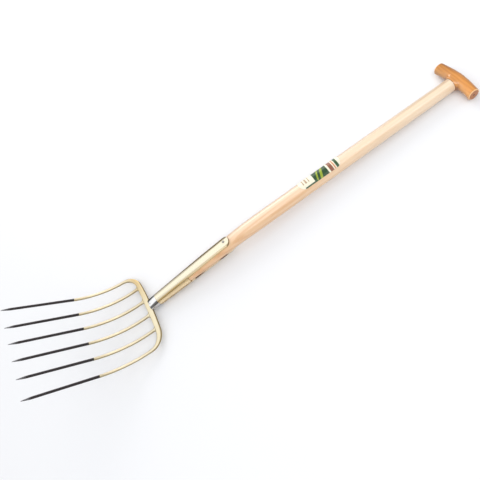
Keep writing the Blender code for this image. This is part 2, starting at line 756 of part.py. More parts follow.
pin_length = collar_radius(PIN_RISE) + PIN_REACH
pin_points = [
    (0, pin_length),
    (PIN_DIAMETER / 2, pin_length - PIN_DIAMETER),
    (PIN_DIAMETER / 2, PIN_HEAD_HEIGHT),
    (PIN_HEAD_DIAMETER / 2, PIN_HEAD_HEIGHT),
    (PIN_HEAD_DIAMETER / 2, 0),
    (0, 0),
]
pin_space_points = [
    (0, pin_length + GAP),
    (PIN_DIAMETER / 2 + GAP, pin_length + GAP),
    (PIN_DIAMETER / 2 + GAP, PIN_HEAD_HEIGHT + GAP),
    (PIN_HEAD_DIAMETER / 2 + GAP, PIN_HEAD_HEIGHT + GAP),
    (PIN_HEAD_DIAMETER / 2 + GAP, -PIN_DIAMETER),
    (0, -PIN_DIAMETER),
]
grip_pin = piece("grip_pin", profile("grip_pin", pin_points), grip_axis, bright_steel)
pin_space = cutter("pin_space", profile("pin_space", pin_space_points), grip_axis)
for nail in (grip_pin, pin_space):
    nail.location = (0, PIN_RISE - GRIP_RISE, -collar_radius(PIN_RISE))
    turn(nail)
boolean(grip, "DIFFERENCE", pin_space)
boolean(shaft, "DIFFERENCE", pin_space)


# Label: a thin sheet with rounded corners, wrapped round the front of the shaft

label_half_width = LABEL_HALF_ANGLE * (core_radius(LABEL_START) + GAP)
label_rows = []
for turned_by in steps(0, math.pi / 2, 6):
    reach = label_half_width - LABEL_CORNER_RADIUS * (1 - math.sin(turned_by))
    label_rows.append((LABEL_START + LABEL_CORNER_RADIUS * (1 - math.cos(turned_by)), reach))
label_rows += [(2 * LABEL_START + LABEL_LENGTH - along, reach) for along, reach in reversed(label_rows)]
label_work = bmesh.new()
label_grid = []
for along, reach in label_rows:
    radius = core_radius(along) + GAP
    y = axis_point(along).y
    angles = [LABEL_CENTRE_ANGLE + share * reach / radius for share in steps(-1, 1, 12)]
    row = [label_work.verts.new((radius * math.sin(angle), y, radius * math.cos(angle))) for angle in angles]
    label_grid.append(row)
for low_row, high_row in zip(label_grid, label_grid[1:]):
    for i in range(len(low_row) - 1):
        label_work.faces.new((low_row[i], low_row[i + 1], high_row[i + 1], high_row[i]))
label_mesh = bpy.data.meshes.new("shaft_label")
label_work.to_mesh(label_mesh)
label_work.free()
shaft_label = piece("shaft_label", label_mesh, tool, paper)
sheet = shaft_label.modifiers.new("sheet", "SOLIDIFY")
sheet.thickness = LABEL_THICKNESS
sheet.offset = 1.0


# Lay the fork on its back, on the head's and the grip's lowest places, and centre it

bpy.context.view_layer.update()
graph = bpy.context.evaluated_depsgraph_get()
side_view = []
for made in model.objects:
    if made.type == "MESH":
        evaluated = made.evaluated_get(graph)
        for vertex in evaluated.data.vertices:
            corner = evaluated.matrix_world @ vertex.co
            side_view.append((corner.y, corner.z))
underside = []
for y, z in sorted(side_view):
    while len(underside) > 1:
        (y0, z0), (y1, z1) = underside[-2:]
        if (y1 - y0) * (z - z0) > (z1 - z0) * (y - y0):
            break
        underside.pop()
    underside.append((y, z))
middle_y = (min(side_view)[0] + max(side_view)[0]) / 2
for (y0, z0), (y1, z1) in zip(underside, underside[1:]):
    if y0 <= middle_y < y1:
        tilt = -math.atan2(z1 - z0, y1 - y0)
laid = [(y * math.cos(tilt) - z * math.sin(tilt), y * math.sin(tilt) + z * math.cos(tilt)) for y, z in side_view]
tool.rotation_euler = (tilt, 0, 0)
tool.location = (0, -(min(laid)[0] + max(laid)[0]) / 2, -min(z for y, z in laid))
bpy.context.view_layer.update()
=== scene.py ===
"""Manure fork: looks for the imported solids, with a pale floor, soft light and a camera."""
import math

import bmesh
import bpy
from mathutils import Matrix, Vector


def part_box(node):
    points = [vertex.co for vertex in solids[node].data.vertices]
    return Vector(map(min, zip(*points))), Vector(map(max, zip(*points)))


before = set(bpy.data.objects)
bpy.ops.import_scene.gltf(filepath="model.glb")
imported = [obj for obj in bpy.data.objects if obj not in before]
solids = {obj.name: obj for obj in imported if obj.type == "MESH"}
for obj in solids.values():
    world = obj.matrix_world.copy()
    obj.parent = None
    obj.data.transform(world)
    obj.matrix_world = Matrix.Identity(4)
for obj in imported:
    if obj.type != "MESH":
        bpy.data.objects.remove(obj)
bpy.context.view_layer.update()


# Head: the crossbar runs through both rounded corners into the outer tines, and four inner
# tines are forged on to it. It is forged steel under a clear gold lacquer, and the tines'
# lower halves are dipped in black paint.

weld_gap = 0.00002
smooth_up_to = math.radians(38)


def smooth_skin():
    """A modifier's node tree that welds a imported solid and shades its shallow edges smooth."""
    tree = bpy.data.node_groups.new("smooth_skin", "GeometryNodeTree")
    tree.interface.new_socket("Geometry", in_out="INPUT", socket_type="NodeSocketGeometry")
    tree.interface.new_socket("Geometry", in_out="OUTPUT", socket_type="NodeSocketGeometry")
    start = tree.nodes.new("NodeGroupInput")
    end = tree.nodes.new("NodeGroupOutput")
    weld = tree.nodes.new("GeometryNodeMergeByDistance")
    weld.inputs["Distance"].default_value = weld_gap
    plain = tree.nodes.new("GeometryNodeRemoveAttribute")
    plain.inputs["Name"].default_value = "custom_normal"
    faces = tree.nodes.new("GeometryNodeSetShadeSmooth")
    edges = tree.nodes.new("GeometryNodeSetShadeSmooth")
    edges.domain = "EDGE"
    bend = tree.nodes.new("GeometryNodeInputMeshEdgeAngle")
    shallow = tree.nodes.new("FunctionNodeCompare")
    shallow.operation = "LESS_THAN"
    shallow.inputs["B"].default_value = smooth_up_to
    chain = (start, weld, plain, faces, edges, end)
    for before, after in zip(chain, chain[1:]):
        tree.links.new(before.outputs["Geometry"], after.inputs["Geometry"])
    tree.links.new(bend.outputs["Unsigned Angle"], shallow.inputs["A"])
    tree.links.new(shallow.outputs["Result"], edges.inputs["Shade Smooth"])
    return tree


skin = smooth_skin()


def finish_solid(name, finish):
    """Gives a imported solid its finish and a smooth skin."""
    solid = solids[name]
    solid.data.materials.clear()
    solid.data.materials.append(finish)
    solid.modifiers.new("smooth_skin", "NODES").node_group = skin
    return solid


def feed(tree, socket, value):
    """Sets a socket to a value, or links another node's socket to it."""
    if isinstance(value, bpy.types.NodeSocket):
        tree.links.new(value, socket)
    else:
        socket.default_value = value


def set_inputs(tree, node, **inputs):
    """Feeds a node's inputs, each by its name, or by _ and its number."""
    for name, value in inputs.items():
        key = int(name[1:]) if name[0] == "_" else name.replace("_", " ")
        feed(tree, node.inputs[key], value)


def add(tree, kind, **inputs):
    """A new node with its inputs fed."""
    made = tree.nodes.new(kind)
    set_inputs(tree, made, **inputs)
    return made


def maths(tree, operation, *values):
    """A Math node's result."""
    made = add(tree, "ShaderNodeMath", **{f"_{i}": value for i, value in enumerate(values)})
    made.operation = operation
    return made.outputs[0]


def times(tree, first, *others):
    """Values multiplied together."""
    for other in others:
        first = maths(tree, "MULTIPLY", first, other)
    return first


def scaled(tree, value, by, plus):
    """A value times a number, plus another."""
    return maths(tree, "MULTIPLY_ADD", value, by, plus)


def squared(tree, value):
    """A value times itself."""
    return maths(tree, "POWER", value, 2.0)


def soft_step(tree, value, low, high):
    """0 at low, 1 at high, and smooth between."""
    made = add(tree, "ShaderNodeMapRange", Value=value, From_Min=low, From_Max=high)
    made.interpolation_type = "SMOOTHSTEP"
    made.clamp = True
    return made.outputs[0]


def blend_colours(tree, mask, first, second, way="MIX"):
    """Two colours mixed by a mask."""
    made = tree.nodes.new("ShaderNodeMix")
    made.data_type = "RGBA"
    made.blend_type = way
    sockets = {socket.identifier: socket for socket in made.inputs}
    feed(tree, sockets["Factor_Float"], mask)
    feed(tree, sockets["A_Color"], first)
    feed(tree, sockets["B_Color"], second)
    return next(socket for socket in made.outputs if socket.identifier == "Result_Color")


def noise(tree, place, scale, detail, **more):
    """A noise pattern's value."""
    return add(tree, "ShaderNodeTexNoise", Vector=place, Scale=scale, Detail=detail, **more).outputs[0]


def axes(tree, place):
    """The X, Y and Z of a place or a normal."""
    return add(tree, "ShaderNodeSeparateXYZ", Vector=place).outputs


def along(tree, place, way):
    """How far a place lies along a way."""
    made = add(tree, "ShaderNodeVectorMath", _0=place, _1=way)
    made.operation = "DOT_PRODUCT"
    return made.outputs["Value"]


def add_bump(tree, shader, height, strength, depth):
    """Feeds a height to a shader's normal."""
    made = add(tree, "ShaderNodeBump", Height=height, Strength=strength, Distance=depth)
    tree.links.new(made.outputs[0], shader.inputs["Normal"])


def new_group(name, inputs, outputs):
    """An empty shader node group with its sockets, and its two end nodes."""
    tree = bpy.data.node_groups.new(name, "ShaderNodeTree")
    for label, kind, value in inputs:
        socket = tree.interface.new_socket(label, in_out="INPUT", socket_type=f"NodeSocket{kind}")
        if value is not None:
            socket.default_value = value
    for label, kind in outputs:
        tree.interface.new_socket(label, in_out="OUTPUT", socket_type=f"NodeSocket{kind}")
    return tree, tree.nodes.new("NodeGroupInput").outputs, tree.nodes.new("NodeGroupOutput").inputs


def use(tree, group, **inputs):
    """A placed node group's outputs, with its inputs fed."""
    made = tree.nodes.new("ShaderNodeGroup")
    made.node_tree = group
    set_inputs(tree, made, **inputs)
    return made.outputs


def new_material(name):
    """A material with its tree, its Principled shader and the object's own coordinates."""
    made = bpy.data.materials.new(name)
    made.use_nodes = True
    tree = made.node_tree
    place = tree.nodes.new("ShaderNodeTexCoord").outputs["Object"]
    return made, tree, tree.nodes["Principled BSDF"], place


# Forged skin: shallow hammer facets and fine roughness, which every steel piece has
forged, given, put = new_group(
    "forged_skin",
    [("Place", "Vector", None), ("Facet", "Float", 60.0), ("Grit", "Float", 1400.0)],
    [("Height", "Float"), ("Patches", "Float")],
)
facets = noise(forged, given["Place"], given["Facet"], 1.0)
grit = noise(forged, given["Place"], given["Grit"], 3.0)
grit_share = 0.12
facet_patches = (0.35, 0.65)
forged.links.new(maths(forged, "ADD", facets, times(forged, grit, grit_share)), put["Height"])
forged.links.new(soft_step(forged, facets, *facet_patches), put["Patches"])

# Painted side shade: steep sides take another colour, mostly darker, than faces turned up or down
side_shade_group, given, put = new_group(
    "painted_side_shade",
    [
        ("Thin", "Color", (0.9, 0.8, 0.6, 1)),
        ("Thick", "Color", (0.4, 0.3, 0.1, 1)),
        ("Runs", "Float", 0.5),
        ("Shallow", "Float", 0.1),
        ("Steep", "Float", 0.9),
    ],
    [("Color", "Color"), ("Sides", "Float")],
)
facing = axes(side_shade_group, side_shade_group.nodes.new("ShaderNodeNewGeometry").outputs["Normal"])
steep = maths(side_shade_group, "SUBTRACT", 1.0, maths(side_shade_group, "ABSOLUTE", facing["Z"]))
steep = maths(side_shade_group, "ADD", steep, scaled(side_shade_group, given["Runs"], 0.3, -0.15))
sides = soft_step(side_shade_group, steep, given["Shallow"], given["Steep"])
side_shade_group.links.new(blend_colours(side_shade_group, sides, given["Thin"], given["Thick"]), put["Color"])
side_shade_group.links.new(sides, put["Sides"])


def lacquer_runs(tree, place):
    """Where the wet lacquer ran."""
    return noise(tree, place, 38.0, 4.0, Roughness=0.6)


bar_gold_left = (0.58, 0.43, 0.21, 1)
bar_gold_right = (0.72, 0.64, 0.45, 1)
tine_gold = (0.74, 0.65, 0.46, 1)
side_shade_gold = (0.42, 0.32, 0.16, 1)
gold_sheen = (0.10, 0.06, 0.015, 1)
lacquered_metal = 0.92
black_thick = (0.028, 0.024, 0.026, 1)
black_thin = (0.055, 0.047, 0.050, 1)
worn_steel = (0.32, 0.32, 0.33, 1)

# The paint ends on a plane square to the tines' slope, a length up from their points
tine_slope = math.radians(45.304)
painted_length = 0.1654
# Each pair, here and in the next sections, is where a mask is 0 and where it is 1. The first
# lies across the crossbar, and the next ones down the tines from the paint's end.
right_gold = (-0.11, 0.02)
tine_gold_from = (-0.142, -0.118)
paint_edge = (0.0002, 0.0008)
paint_edge_waves = 0.0010
worn_from = (0.142, 0.158)
chip_edge = (0.42, 0.60)
down_the_tines = Vector((0, -math.cos(tine_slope), math.sin(tine_slope)))
head_low, head_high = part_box("tine_bow")
paint_ends = Vector((0, head_low.y, head_high.z)).dot(down_the_tines) - painted_length

dipped, tree, shader, place = new_material("lacquer_and_black_dip")
skin_of = use(tree, forged, Place=place, Facet=75.0, Grit=1500.0)
runs = lacquer_runs(tree, place)
below_dip = maths(tree, "SUBTRACT", along(tree, place, down_the_tines), paint_ends)
# The crossbar's gold is painted shade: darker than the tines' gold, and darker and more orange on its
# left
right_share = soft_step(tree, axes(tree, place)["X"], *right_gold)
bar_gold = blend_colours(tree, right_share, bar_gold_left, bar_gold_right)
off_bar = soft_step(tree, below_dip, *tine_gold_from)
gold = blend_colours(tree, off_bar, bar_gold, tine_gold)
# The head's steep sides take a darker gold, painted shade
with_side_shade = use(tree, side_shade_group, Runs=runs, Thin=gold, Thick=side_shade_gold, Shallow=0.10, Steep=0.85)
wavy_edge = scaled(tree, noise(tree, place, 160.0, 2.0), paint_edge_waves, below_dip)
paint = soft_step(tree, wavy_edge, *paint_edge)
chipped = soft_step(tree, noise(tree, place, 900.0, 2.0), *chip_edge)
bare = times(tree, soft_step(tree, below_dip, *worn_from), chipped)
black = blend_colours(tree, runs, black_thick, black_thin)
black = blend_colours(tree, bare, black, worn_steel)
painted = times(tree, paint, maths(tree, "SUBTRACT", 1.0, bare))
rough = scaled(tree, skin_of["Patches"], 0.10, 0.34)
set_inputs(
    tree,
    shader,
    Base_Color=blend_colours(tree, paint, with_side_shade["Color"], black),
    Metallic=scaled(tree, painted, -lacquered_metal, lacquered_metal),
    Roughness=scaled(tree, paint, 0.10, rough),
    Specular_Tint=gold_sheen,
)
add_bump(tree, shader, scaled(tree, paint, 0.6, skin_of["Height"]), 0.25, 0.0004)

for name in ("tine_bow", "inner_tine_1", "inner_tine_2", "inner_tine_3", "inner_tine_4"):
    finish_solid(name, dipped)


# Neck: the bare forging between the crossbar and the lacquered socket. It is ground and
# polished steel, drawn along its length, with painted shade on its sides, darkest low on them.

steel_dull = (0.92, 0.92, 0.91, 1)
steel_bright = (0.97, 0.97, 0.96, 1)
steel_on_sides = (0.72, 0.70, 0.70, 1)
steel_sheen = (0.10, 0.10, 0.11, 1)
crease_shade = (0.085, 0.078, 0.074, 1)
crease_shade_cover = 0.92
# Measured outwards from the neck's middle, to which the painted shade comes nearer on the left
crease_shade_edge = (0.0068, 0.0092)
crease_shade_right_rim = (0.0137, 0.0122)
nearer_on_left = 0.0030

polished, tree, shader, place = new_material("polished_steel")
drawn_out = add(tree, "ShaderNodeMapping", Vector=place, Scale=(1.0, 0.04, 1.0)).outputs[0]
drawn = noise(tree, drawn_out, 2200.0, 2.0)
skin_of = use(tree, forged, Place=place, Facet=90.0, Grit=1800.0)
steel = blend_colours(tree, skin_of["Patches"], steel_dull, steel_bright)
with_side_shade = use(tree, side_shade_group, Runs=drawn, Thin=steel, Thick=steel_on_sides, Shallow=0.42, Steep=0.85)
across = axes(tree, place)["X"]
# A dark painted shade lies low on each side
from_middle = maths(tree, "MAXIMUM", across, scaled(tree, across, -1.0, nearer_on_left))
crease_shaded = soft_step(tree, from_middle, *crease_shade_edge)
crease_shaded = times(tree, crease_shaded, soft_step(tree, across, *crease_shade_right_rim), crease_shade_cover)
rough = scaled(tree, drawn, 0.10, 0.10)
set_inputs(
    tree,
    shader,
    Base_Color=blend_colours(tree, crease_shaded, with_side_shade["Color"], crease_shade),
    Metallic=1.0,
    Roughness=scaled(tree, with_side_shade["Sides"], 0.28, rough),
    Specular_Tint=steel_sheen,
)
add_bump(tree, shader, drawn, 0.06, 0.0001)
finish_solid("neck", polished)


# Socket: a closed shell whose cheeks end across the wood, with the rear strap forged to it,
# and the front strap laid into its slot. Both are steel under the head's gold lacquer.

left_to_right = (-0.006, 0.006)
left_shade_softness = 0.0045
left_shade_widens = (-0.24, -0.12)


def lacquered_steel(name, thin, side_left, side_right, shallow, steep, gloss, left_shade_at=-1.0, wider=0.0):
    """Forged steel under clear lacquer, with painted light and shade on steep sides and painted shade
    left of an edge.
    """
    made, tree, shader, place = new_material(name)
    skin_of = use(tree, forged, Place=place, Facet=75.0, Grit=1500.0)
    runs = lacquer_runs(tree, place)
    spot = axes(tree, place)
    # Steep sides are painted light and shade, with one colour on the left and another on the right
    on_right = soft_step(tree, spot["X"], *left_to_right)
    side_colour = blend_colours(tree, on_right, side_left, side_right)
    # A dark painted shade runs left of a given edge, widened along Y by a given amount
    widened = times(tree, soft_step(tree, spot["Y"], *left_shade_widens), -wider)
    from_edge = maths(tree, "ADD", spot["X"], widened)
    off_left_shade = soft_step(tree, from_edge, left_shade_at, left_shade_at + left_shade_softness)
    thin = blend_colours(tree, off_left_shade, side_left, thin)
    with_side_shade = use(tree, side_shade_group, Runs=runs, Thin=thin, Thick=side_colour, Shallow=shallow, Steep=steep)
    set_inputs(
        tree,
        shader,
        Base_Color=with_side_shade["Color"],
        Metallic=lacquered_metal,
        Roughness=scaled(tree, skin_of["Patches"], 0.06, gloss),
        Specular_Tint=gold_sheen,
    )
    add_bump(tree, shader, skin_of["Height"], 0.05, 0.0004)
    return made, tree, shader, spot, with_side_shade


# The cheeks' steep sides carry painted shade on the left and a lighter painted reflection on the right
cheek_lacquer, tree, shader, spot, with_side_shade = lacquered_steel(
    "cheek_lacquer",
    thin=(0.76, 0.57, 0.31, 1),
    side_left=(0.50, 0.37, 0.18, 1),
    side_right=(1.00, 0.82, 0.56, 1),
    shallow=0.45,
    steep=1.05,
    gloss=0.26,
)
# Painted shade darkens the rear strap's edges past the cheeks, most beside them and near its end
strap_edge_shade = (0.11, 0.05, 0.04, 1)
cheeks_end = (-0.1870, -0.1850)
shade_by_cheeks = (-0.150, -0.172)
shade_by_end = (-0.116, -0.104)
shade_stops = (-0.082, -0.092)
shade_least, shade_more = 0.10, 0.85
past_cheeks = soft_step(tree, spot["Y"], *cheeks_end)
on_edges = times(tree, past_cheeks, soft_step(tree, with_side_shade["Sides"], 0.3, 0.7))
by_cheeks = soft_step(tree, spot["Y"], *shade_by_cheeks)
by_end = soft_step(tree, spot["Y"], *shade_by_end)
by_end = times(tree, by_end, soft_step(tree, spot["Y"], *shade_stops))
left_on = scaled(tree, maths(tree, "ADD", by_cheeks, by_end), shade_more, shade_least)
dark_edge = blend_colours(tree, times(tree, on_edges, left_on), with_side_shade["Color"], strap_edge_shade)
set_inputs(tree, shader, Base_Color=dark_edge)
finish_solid("socket_shell", cheek_lacquer)

strap_lacquer, tree, shader, spot, with_side_shade = lacquered_steel(
    "strap_lacquer",
    thin=(0.77, 0.70, 0.54, 1),
    side_left=(0.28, 0.22, 0.13, 1),
    side_right=(0.46, 0.31, 0.12, 1),
    shallow=0.34,
    steep=0.95,
    gloss=0.20,
    left_shade_at=-0.0104,
    wider=0.0022,
)
# The strap's right edge is darker gold, painted shade, weaker towards its end, where the side turns
# lighter gold
right_edge_shade = (0.56, 0.37, 0.13, 1)
right_side_gold = (0.92, 0.74, 0.46, 1)
right_shade_edge = (0.0078, 0.0112)
strap_side = (0.0112, 0.0121)
right_shade_fades = (-0.235, -0.165)
right_shade_cover, right_shade_cover_lost = 0.88, 0.50
right_side_gold_cover = 0.65
towards_end = soft_step(tree, spot["Y"], *right_shade_fades)
right_shade = soft_step(tree, spot["X"], *right_shade_edge)
right_shade = times(tree, right_shade, scaled(tree, towards_end, -right_shade_cover_lost, right_shade_cover))
colour = blend_colours(tree, right_shade, with_side_shade["Color"], right_edge_shade)
right_side = soft_step(tree, spot["X"], *strap_side)
right_side = times(tree, right_side, times(tree, towards_end, right_side_gold_cover))
colour = blend_colours(tree, right_side, colour, right_side_gold)
# A darker brown round the rim of the strap's rounded end is painted shade
tip_shade_brown = (0.24, 0.18, 0.09, 1)
tip_shade_cover = 0.9
tip_radius = 0.01136
tip_shade_edge = (0.0098, 0.0116)
rounded_from = (-0.0760, -0.0720)
tip_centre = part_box("front_strap")[1].y - tip_radius
past_centre = maths(tree, "MAXIMUM", maths(tree, "SUBTRACT", spot["Y"], tip_centre), 0.0)
from_centre = maths(tree, "ADD", squared(tree, past_centre), squared(tree, spot["X"]))
from_centre = maths(tree, "SQRT", from_centre)
tip_shade = times(tree, soft_step(tree, from_centre, *tip_shade_edge), tip_shade_cover)
tip_shade = times(tree, tip_shade, soft_step(tree, spot["Y"], *rounded_from))
set_inputs(tree, shader, Base_Color=blend_colours(tree, tip_shade, colour, tip_shade_brown))
filed = finish_solid("front_strap", strap_lacquer).modifiers.new("filed_edges", "BEVEL")
filed.width = 0.0012
filed.segments = 3
filed.limit_method = "ANGLE"
filed.angle_limit = math.radians(35)
filed.harden_normals = True


# Strap rivet: a small steel rivet driven through the front strap, the shaft and the rear
# strap, and hammered over. Its heads have worn dull under what lacquer they took.

# Its steep sides are painted darker, as shade
rivet_steel = lacquered_steel(
    "dull_rivet_steel",
    thin=(0.34, 0.32, 0.29, 1),
    side_left=(0.14, 0.12, 0.10, 1),
    side_right=(0.20, 0.17, 0.13, 1),
    shallow=0.20,
    steep=0.90,
    gloss=0.36,
)[0]
finish_solid("strap_rivet", rivet_steel)


# Shaft: one stick of straight grained ash, steamed to its bend, turned, sanded and varnished.
# The wood is peach coloured by the straps and paler towards the grip.

# Wood grain: growth rings round a pith outside the stick, fibres along it and open pores
grain, given, put = new_group(
    "wood_grain",
    [
        ("Place", "Vector", None),
        ("Pale", "Color", (0.9, 0.7, 0.5, 1)),
        ("Dark", "Color", (0.7, 0.5, 0.3, 1)),
        ("Rings", "Float", 420.0),
        ("Fibres", "Float", 900.0),
    ],
    [("Color", "Color"), ("Streaks", "Float"), ("Height", "Float")],
)
pith_left, pith_below = 0.045, 0.030
ring_drift = 0.035
full_turn = 6.2832
slow = add(grain, "ShaderNodeMapping", Vector=given["Place"], Scale=(9.0, 1.6, 9.0)).outputs[0]
spot = axes(grain, given["Place"])
aside = squared(grain, maths(grain, "ADD", spot["X"], pith_left))
below = squared(grain, maths(grain, "ADD", spot["Z"], pith_below))
from_pith = maths(grain, "SQRT", maths(grain, "ADD", aside, below))
ring_at = scaled(grain, noise(grain, slow, 1.0, 3.0), ring_drift, from_pith)
turns = times(grain, ring_at, times(grain, given["Rings"], full_turn))
ring = soft_step(grain, maths(grain, "SINE", turns), -0.6, 1.0)
drawn_out = add(grain, "ShaderNodeMapping", Vector=given["Place"], Scale=(1.0, 0.018, 1.0)).outputs[0]
fibre = noise(grain, drawn_out, given["Fibres"], 4.0)
pore = soft_step(grain, noise(grain, drawn_out, times(grain, given["Fibres"], 2.6), 2.0), 0.60, 0.72)
pore = times(grain, pore, scaled(grain, ring, 0.7, 0.3))
broad = noise(grain, slow, 2.3, 2.0)
streaks = scaled(grain, ring, 0.40, times(grain, fibre, 0.35))
streaks = maths(grain, "ADD", streaks, times(grain, broad, 0.25))
streaks = maths(grain, "ADD", streaks, times(grain, pore, 0.45))
grain.links.new(blend_colours(grain, streaks, given["Pale"], given["Dark"]), put["Color"])
grain.links.new(streaks, put["Streaks"])
grain.links.new(maths(grain, "SUBTRACT", fibre, pore), put["Height"])

# The fork lies tilted on its back; this turns a place into one measured along the shaft
tilt = 0.025642
lying = Matrix.Translation((0, -0.328151, 0.038871)) @ Matrix.Rotation(-tilt, 4, "X")


def along_shaft(tree, place):
    """A place in the fork's own frame, with y along the shaft."""
    turned = add(tree, "ShaderNodeMapping", Vector=place, Rotation=(tilt, 0, 0))
    turned.inputs["Location"].default_value = lying.inverted().translation
    return turned.outputs[0]


ash_pale = (0.850, 0.560, 0.315, 1)
ash_dark = (0.690, 0.365, 0.155, 1)
ash_by_grip = (0.93, 0.81, 0.63, 1)
ash_painted_sheen = (0.90, 0.82, 0.70, 1)
peach_tint = (0.98, 0.92, 0.83, 1)
left_tint = (0.65, 0.60, 0.54, 1)
# Places along the shaft, then across it
pales_past_straps = (-0.13, -0.02)
pales_to_grip = (0.02, 0.45)
sheen_starts = (-0.12, -0.03)
sheen_fades = (0.40, 0.16)
peach_weakens = (0.05, 0.40)
shade_widens = (0.05, 0.35)
sheen_face = (0.0105, 0.0)
peach_face = (0.002, 0.013)
shaded_face = (-0.0020, -0.0070)
shade_shift = -0.0030
# How much of each tint shows
pale_past_straps, pale_to_grip = 0.16, 0.42
sheen_cover = 0.29
peach_cover, peach_cover_lost = 0.8, 0.5
shade_cover = 0.9

ash, tree, shader, place = new_material("varnished_ash")
figure = use(
    tree,
    grain,
    Place=along_shaft(tree, place),
    Pale=ash_pale,
    Dark=ash_dark,
    Rings=230.0,
    Fibres=850.0,
)
spot = axes(tree, place)
# The wood pales in two stages, past the straps and then all the way to the grip
paler = times(tree, soft_step(tree, spot["Y"], *pales_past_straps), pale_past_straps)
paler = scaled(tree, soft_step(tree, spot["Y"], *pales_to_grip), pale_to_grip, paler)
wood = blend_colours(tree, paler, figure["Color"], ash_by_grip)
# Its upper left face is paler from the straps' end to the label, and less so after it: a painted
# highlight
painted_sheen = times(
    tree,
    soft_step(tree, spot["X"], *sheen_face),
    soft_step(tree, spot["Y"], *sheen_starts),
    soft_step(tree, spot["Y"], *sheen_fades),
    sheen_cover,
)
wood = blend_colours(tree, painted_sheen, wood, ash_painted_sheen)
# Its right side is tinted peach where the streaks are dark, less so towards the grip: grain and painted
# shade
weakened = soft_step(tree, spot["Y"], *peach_weakens)
peach = scaled(tree, weakened, -peach_cover_lost, peach_cover)
peach = times(tree, soft_step(tree, spot["X"], *peach_face), peach)
peach = times(tree, peach, scaled(tree, figure["Streaks"], 2.0, 0.20))
wood = blend_colours(tree, peach, wood, peach_tint, "MULTIPLY")
# Its left side is darker, over a width that grows towards the grip
shifted = times(tree, soft_step(tree, spot["Y"], *shade_widens), shade_shift)
shade = soft_step(tree, maths(tree, "ADD", spot["X"], shifted), *shaded_face)
wood = blend_colours(tree, times(tree, shade, shade_cover), wood, left_tint, "MULTIPLY")
set_inputs(
    tree,
    shader,
    Base_Color=wood,
    Roughness=scaled(tree, figure["Streaks"], 0.14, 0.34),
    Coat_Weight=1.0,
    Coat_IOR=1.7,
    Coat_Roughness=0.27,
)
add_bump(tree, shader, figure["Height"], 0.25, 0.00015)
finish_solid("shaft", ash)


# Label: a glossy printed sticker with round corners, wrapped half round the shaft's front.
# Its print is a plain design of blocks, bars and slanting stripes.

label_start = 0.46792
label_length = 0.111
label_turn = math.radians(15.5)
print_edge = 0.004
cream = (0.82, 0.79, 0.62, 1)
dark_green = (0.012, 0.055, 0.014, 1)
lime = (0.28, 0.36, 0.02, 1)
pale_brown = (0.42, 0.30, 0.20, 1)
red_brown = (0.25, 0.09, 0.05, 1)
orange = (0.62, 0.28, 0.15, 1)
mid_green = (0.018, 0.075, 0.022, 1)
rim_green = (0.03, 0.08, 0.03, 1)

sticker, tree, shader, place = new_material("printed_sticker")
spot = axes(tree, along_shaft(tree, place))
up_label = maths(tree, "SUBTRACT", spot["Y"], label_start)
up_label = maths(tree, "DIVIDE", up_label, label_length)
round_label = maths(tree, "ARCTAN2", spot["X"], spot["Z"])
round_label = maths(tree, "ADD", round_label, label_turn)


def band(value, low, high, soft=print_edge):
    """A mask that is 1 between low and high."""
    rise = soft_step(tree, value, low - soft, low + soft)
    fall = soft_step(tree, value, high + soft, high - soft)
    return times(tree, rise, fall)


# Shares of the label's length, counted from the end nearer the straps
block = band(up_label, 0.34, 0.68)
slant = scaled(tree, round_label, 0.06, up_label)
stripes = maths(tree, "ADD", band(slant, 0.44, 0.475), band(slant, 0.53, 0.585))
bars = maths(tree, "ADD", band(up_label, 0.09, 0.115), band(up_label, 0.15, 0.19))
bars = maths(tree, "ADD", bars, band(up_label, 0.225, 0.245))
bars = times(tree, bars, band(round_label, -0.45, 0.45, 0.02))
side_rim = times(tree, soft_step(tree, round_label, 0.84, 0.87), band(up_label, 0.10, 0.40))
print_colour = cream
for mask, colour in (
    (block, dark_green),
    (stripes, lime),
    (bars, pale_brown),
    (band(up_label, 0.72, 0.80), red_brown),
    (band(up_label, 0.82, 0.85), orange),
    (band(up_label, 0.87, 0.93), mid_green),
    (side_rim, rim_green),
):
    print_colour = blend_colours(tree, mask, print_colour, colour)
set_inputs(
    tree,
    shader,
    Base_Color=print_colour,
    Roughness=scaled(tree, noise(tree, place, 600.0, 2.0), 0.10, 0.24),
    Specular_IOR_Level=0.3,
    Coat_Weight=0.12,
    Coat_Roughness=0.08,
)
finish_solid("shaft_label", sticker)


# Grip: a turned bar of close grained hardwood under an orange-brown varnish, bored blind for
# the shaft's tenon and held by a nail driven from the rear. Its sawn ends drank the varnish.

varnish_pale = (0.735, 0.325, 0.076, 1)
varnish_dark = (0.540, 0.205, 0.043, 1)
varnish_side_shade = (0.300, 0.105, 0.025, 1)
far_side_shade = (0.34, 0.125, 0.035, 1)
varnish_near_side = (0.80, 0.43, 0.18, 1)
left_half_tint = (0.78, 0.77, 0.74, 1)
rim_highlight = (0.95, 0.66, 0.36, 1)
end_grain_pale = (0.58, 0.26, 0.12, 1)
end_grain_dark = (0.32, 0.11, 0.045, 1)
centre_hole = (0.07, 0.025, 0.015, 1)
year_rings = 3100.0
# The bar's axis, and how far its ends droop from it towards the head
axis_y, axis_z = 0.56927, 0.01596
droop = 0.0043
half_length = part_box("grip")[1].x
rim_starts, rim_is_full = half_length - 0.0022, half_length - 0.0017
saw_starts, saw_is_full = half_length - 0.00025, half_length - 0.00005
centre_edge = (0.0024, 0.0014)
left_half_from = (0.010, -0.035)
far_shade_from = (0.0020, 0.0095)
far_shade_wider_on_left = 0.0022
near_side_from = (-0.0060, -0.0120)
past_collar = (0.016, 0.030)
collar_side = (0.5635, 0.5590)
collar_width = (0.032, 0.024)
far_shade_cover = 0.62
near_side_cover = 0.55
left_half_cover = 0.9
rim_highlight_cover = 0.65

